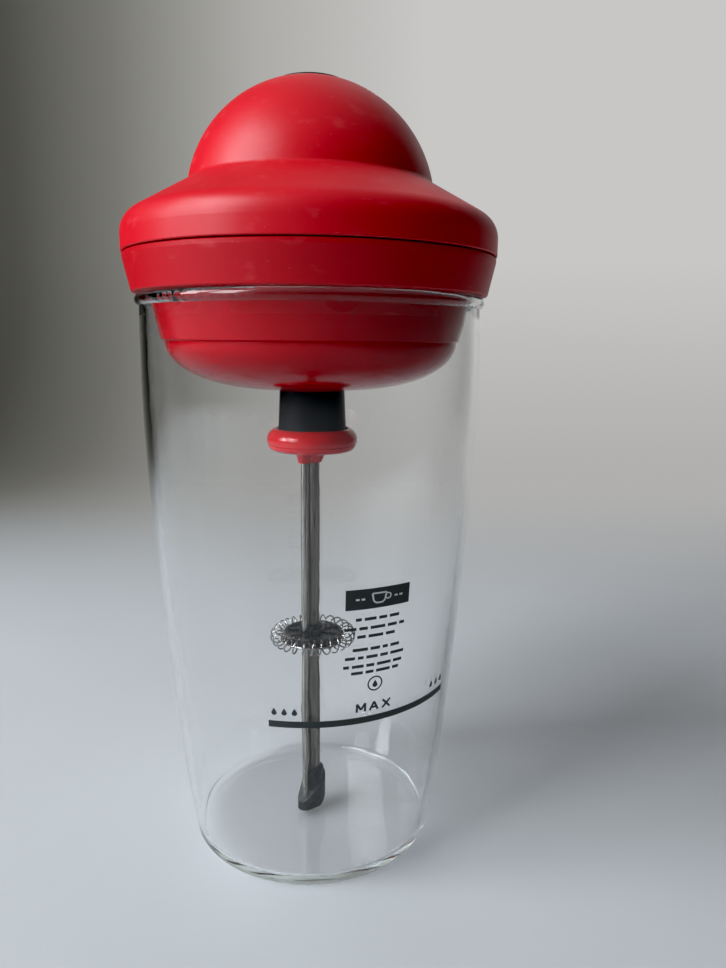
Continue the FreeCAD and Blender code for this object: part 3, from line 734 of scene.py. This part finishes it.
def camera():
    data = bpy.data.cameras.new("camera")
    data.lens = LENS
    data.sensor_width = SENSOR
    data.clip_start, data.clip_end = 0.01, 20
    made = bpy.data.objects.new("camera", data)
    bpy.context.scene.collection.objects.link(made)
    forward = AHEAD * math.cos(LOOK_DOWN) + Vector((0, 0, -math.sin(LOOK_DOWN)))
    up = RIGHT.cross(forward)
    right = math.cos(LOOK_ROLL) * RIGHT + math.sin(LOOK_ROLL) * up
    up = math.cos(LOOK_ROLL) * up - math.sin(LOOK_ROLL) * RIGHT
    turned = Matrix((right, up, -forward)).transposed().to_4x4()
    made.matrix_world = Matrix.Translation(CAMERA_AT) @ turned
    bpy.context.scene.camera = made


WALL_DEPTH = 0.90                 # from the object's axis
WALL_BEND = 0.28                  # radius between table and wall
WALL_TOP = 1.9
SIDE_REACH = 2.4
BEND_STEPS = 24
GLOW_FROM, GLOW_TO = 0.12, 0.56   # depth at which the wall's own glow takes over
# The wall's painted light, a glow from its left end (0) to its right end (1).
WALL_PAINTED_GLOW = (
    (0.0, 0.004), (0.32, 0.008), (0.40, 0.084), (0.43, 0.19), (0.47, 0.41), (0.52, 0.58),
    (0.62, 0.58), (0.76, 0.05),
)


def backdrop_finish():
    """Pale table that runs into a wall. The wall and the far table carry painted light: a glow,
    dim on the left, bright to the right and darker at the wall's foot.
    """
    finish = Finish("backdrop", (0.51, 0.537, 0.564), 0.55, Specular_IOR_Level=0.2)
    x, depth, height = finish.axes()
    finish.paint(finish.mix(finish.noise(14, 4.0), finish.tinted(0.97), finish.tinted(1.03)))
    ramp = finish.node("ShaderNodeValToRGB")
    while len(ramp.color_ramp.elements) < len(WALL_PAINTED_GLOW):
        ramp.color_ramp.elements.new(0.5)
    for element, (place, light) in zip(ramp.color_ramp.elements, WALL_PAINTED_GLOW):
        element.position = place
        element.color = (light, light * 0.99, light * (0.86 + 0.2 * light), 1.0)
    finish.join(finish.span(x, -SIDE_REACH, SIDE_REACH), ramp.inputs[0])
    # The wall is no lamp: its glow is painted light.
    wall = finish.node("ShaderNodeEmission")
    # Painted shade: the glow dims towards the foot of the wall.
    painted_foot_shade = finish.span(height, 0.0, 0.30, 0.76, 1.03)
    finish.join(finish.mix(painted_foot_shade, (0, 0, 0), ramp.outputs[0]), wall.inputs["Color"])
    # Painted light: from GLOW_FROM to GLOW_TO the lit table fades into the wall's glow.
    share = finish.node("ShaderNodeMapRange", interpolation_type="SMOOTHSTEP")
    finish.join(depth, share.inputs["Value"])
    share.inputs["From Min"].default_value = GLOW_FROM
    share.inputs["From Max"].default_value = GLOW_TO
    both = finish.node("ShaderNodeMixShader")
    finish.join(share.outputs["Result"], both.inputs[0])
    finish.join(finish.shader.outputs[0], both.inputs[1])
    finish.join(wall.outputs[0], both.inputs[2])
    finish.join(both.outputs[0], finish.output.inputs["Surface"])
    return finish.material


def backdrop():
    """A table top that bends up into a wall. Its own x runs to the right, its y away."""
    outline = [(-2.0, 0.0)] + [(-1.0 + 0.25 * i, 0.0) for i in range(7)]
    for i in range(BEND_STEPS + 1):
        turn = math.pi / 2 * i / BEND_STEPS
        away = WALL_DEPTH - WALL_BEND + WALL_BEND * math.sin(turn)
        outline.append((away, WALL_BEND * (1 - math.cos(turn))))
    outline.append((WALL_DEPTH, WALL_TOP))
    points = [(side * SIDE_REACH, y, z) for y, z in outline for side in (-1, 1)]
    faces = [(2 * i, 2 * i + 1, 2 * i + 3, 2 * i + 2) for i in range(len(outline) - 1)]
    made = mesh_piece("backdrop", points, faces, backdrop_finish(), None)
    made.rotation_euler = (0, 0, -LOOK_TURN)


def soft_light(name, place, aim, size, power, colour):
    data = bpy.data.lights.new(name, "AREA")
    data.shape = "RECTANGLE"
    data.size, data.size_y = size
    data.energy = power
    data.color = colour
    made = bpy.data.objects.new(name, data)
    bpy.context.scene.collection.objects.link(made)
    made.location = place
    made.rotation_euler = (aim - place).to_track_quat("-Z", "Y").to_euler()
    made.visible_camera = False
    return made


def around(turn, distance, height):
    """A place round the object: turn in degrees from the camera's side, towards its left."""
    angle = math.radians(turn)
    level = -AHEAD * math.cos(angle) * distance - RIGHT * math.sin(angle) * distance
    return level + Vector((0, 0, height))


WINDOWS = (("window_left", 76), ("window_right", 52))   # name and turn, as in around()
WINDOW_SIZE, WINDOW_POWER, WINDOW_COLOUR = (0.34, 0.95), 10.5, (0.94, 0.97, 1.0)
SLOT_SIZE, SLOT_POWER, SLOT_COLOUR = (0.032, 0.15), 0.05, (0.97, 0.99, 1.0)
CEILING_SIZE, CEILING_POWER, CEILING_COLOUR = (1.6, 1.6), 2.5, (1.0, 0.99, 0.97)
SKY_COLOUR, SKY_STRENGTH = (0.86, 0.90, 0.95, 1.0), 0.03


def lights():
    """Two window panes at the left, a weak slot behind for the glass floor, and a ceiling."""
    middle = (cad_low + cad_high) / 2
    for pane, turn in WINDOWS:
        place = around(turn, 0.95, 0.72)
        soft_light(pane, place, middle, WINDOW_SIZE, WINDOW_POWER, WINDOW_COLOUR)
    place = around(186.5, 0.5, 0.40)
    slot = soft_light("high_slot", place, Vector((0, 0, 0)), SLOT_SIZE, SLOT_POWER, SLOT_COLOUR)
    slot.data.shape = "ELLIPSE"
    slot.visible_transmission = False
    place = Vector((0, 0, 1.5))
    soft_light("ceiling", place, middle, CEILING_SIZE, CEILING_POWER, CEILING_COLOUR)
    world = bpy.data.worlds.new("world")
    world.use_nodes = True
    sky = world.node_tree.nodes["Background"]
    sky.inputs["Color"].default_value = SKY_COLOUR
    sky.inputs["Strength"].default_value = SKY_STRENGTH
    bpy.context.scene.world = world


BLACK_LEVEL = 0.009
BOUNCES = 64          # light runs round inside the glass foot and rim many times


def picture():
    """How the picture is developed, and how far light is followed through the glass."""
    view = bpy.context.scene.view_settings
    view.view_transform = "Standard"
    view.use_curve_mapping = True
    view.curve_mapping.black_level = (BLACK_LEVEL,) * 3
    cycles = bpy.context.scene.cycles
    cycles.max_bounces = cycles.glossy_bounces = cycles.transmission_bounces = BOUNCES


# ---- assembly --------------------------------------------------------------------------
dress_cad_nodes()
garter_coil()
button_coil()
ink = print_ink().material
level_mark(ink)
plate_mark(ink, print_white().material)
note_mark(ink)
camera()
backdrop()
lights()
picture()
